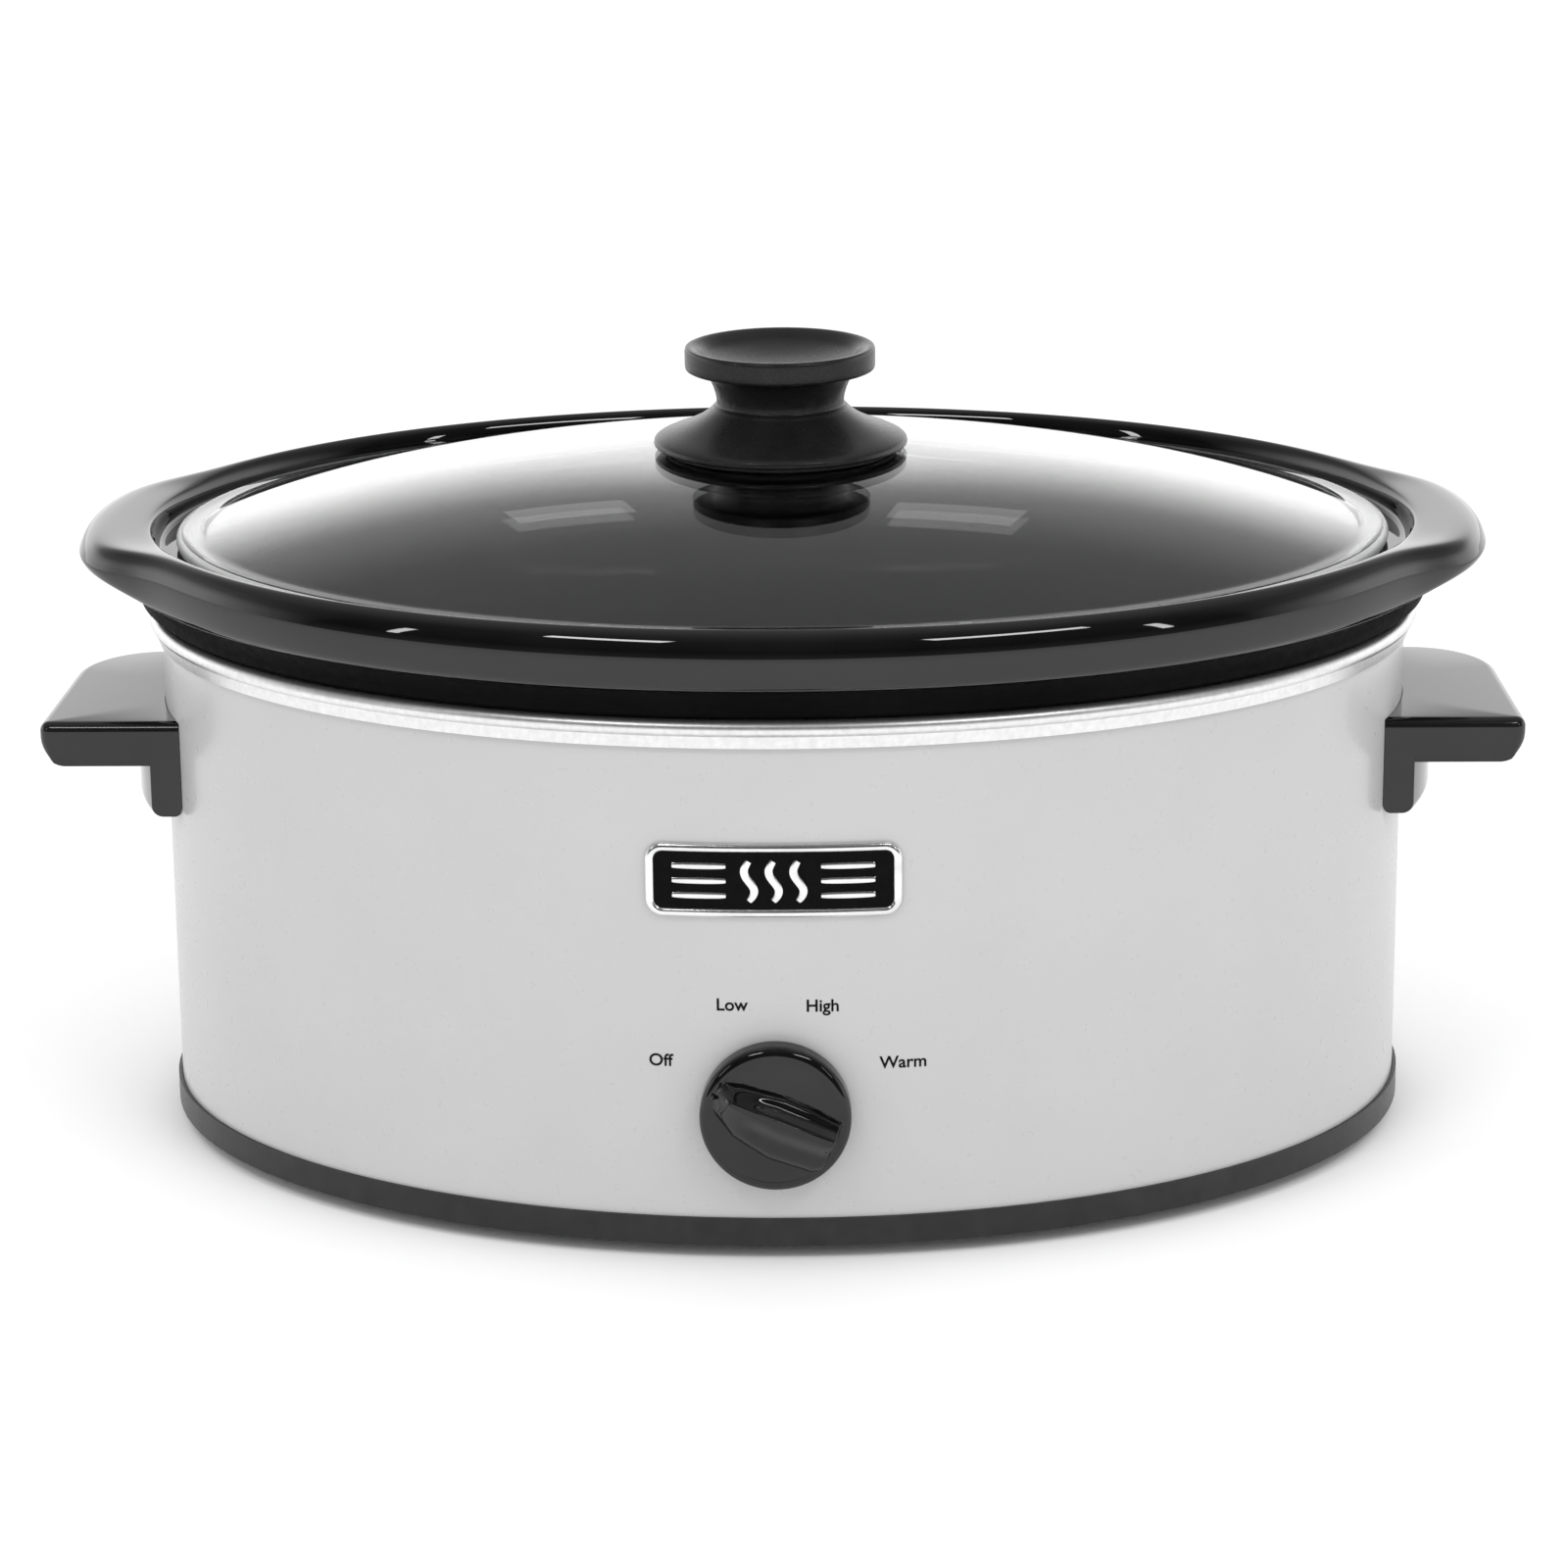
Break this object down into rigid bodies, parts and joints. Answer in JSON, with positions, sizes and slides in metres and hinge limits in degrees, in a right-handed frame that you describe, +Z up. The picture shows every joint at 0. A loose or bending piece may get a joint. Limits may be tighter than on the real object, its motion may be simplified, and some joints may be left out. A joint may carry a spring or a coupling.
{
  "type": "slow cooker",
  "caption": "Oval electric slow cooker: black stoneware crock with lifting lugs and a domed glass lid, in a painted steel heating base with side handles and a front dial.",
  "frame": {"origin": "on the table, under the middle of the oval", "axes": "+Z up, X along the oval's length, the control dial faces -Y"},
  "size_m": [0.412, 0.287, 0.2202],
  "materials": {
    "base_plastic": "satin black",
    "galvanised_steel": "galvanised",
    "foot_rubber": "matt",
    "zinc_screws": "zinc plated",
    "casing_paint": "light warm grey gloss enamel",
    "liner_steel": "galvanised",
    "mica_tape": "woven glass tape",
    "glass_wool": "felted",
    "spring_steel": "bright",
    "handle_plastic": "gloss black",
    "badge_metal": "bright bevel",
    "badge_black": "black",
    "switch_plastic": "natural",
    "brass_parts": "bright",
    "dial_plastic": "gloss black",
    "gland_plastic": "black",
    "lead_brown": "silicone",
    "lead_blue": "silicone",
    "lead_green": "silicone",
    "lead_white": "silicone",
    "lead_red": "silicone",
    "crock_glaze": "gloss black glaze",
    "lid_glass": "clear",
    "knob_plastic": "fine satin black"
  },
  "bodies": {
    "housing": {"base_ring": "base_plastic", "bottom_plate": "galvanised_steel", "feet": "foot_rubber", "foot_screws": "zinc_screws", "centre_stud": "zinc_screws", "centre_nut": "zinc_screws", "outer_casing": "casing_paint", "heating_liner": "liner_steel", "heater_band": "mica_tape", "insulation_wrap": "glass_wool", "band_strap": "spring_steel", "strap_screw": "zinc_screws", "handle_left": "handle_plastic", "handle_right": "handle_plastic", "handle_screws": "zinc_screws", "badge_frame": "badge_metal", "badge_inlay": "badge_black", "badge_clips": "spring_steel", "rotary_switch": "switch_plastic", "switch_terminals": "brass_parts", "switch_nut": "zinc_screws", "cord_gland": "gland_plastic", "gland_nut": "gland_plastic", "terminal_block": "switch_plastic", "terminal_screws": "brass_parts", "thermal_fuse": "brass_parts", "fuse_clip": "spring_steel", "earth_screw": "brass_parts", "lead_live": "lead_brown", "lead_neutral": "lead_blue", "lead_earth": "lead_green", "lead_fuse": "lead_blue", "lead_common": "lead_white", "lead_low": "lead_white", "lead_high": "lead_red"},
    "dial": {"control_dial": "dial_plastic", "switch_shaft": "zinc_screws", "dial_clip": "spring_steel"},
    "crock": {"crock": "crock_glaze"},
    "lid": {"lid_glass": "lid_glass", "lid_knob": "knob_plastic", "lid_gasket": "foot_rubber", "lid_washer": "spring_steel", "lid_screw": "zinc_screws"}
  },
  "joints": [
    {"name": "dial_turn", "type": "hinge", "parent": "housing", "child": "dial", "pos_m": [0, -0.131, 0.0416], "axis": [0, 1, 0], "range_deg": [0, 135]},
    {"name": "crock_lift", "type": "slide", "parent": "housing", "child": "crock", "axis": [0, 0, 1], "range_m": [0, 0.2]},
    {"name": "lid_lift", "type": "slide", "parent": "crock", "child": "lid", "axis": [0, 0, 1], "range_m": [0, 0.15]}
  ]
}
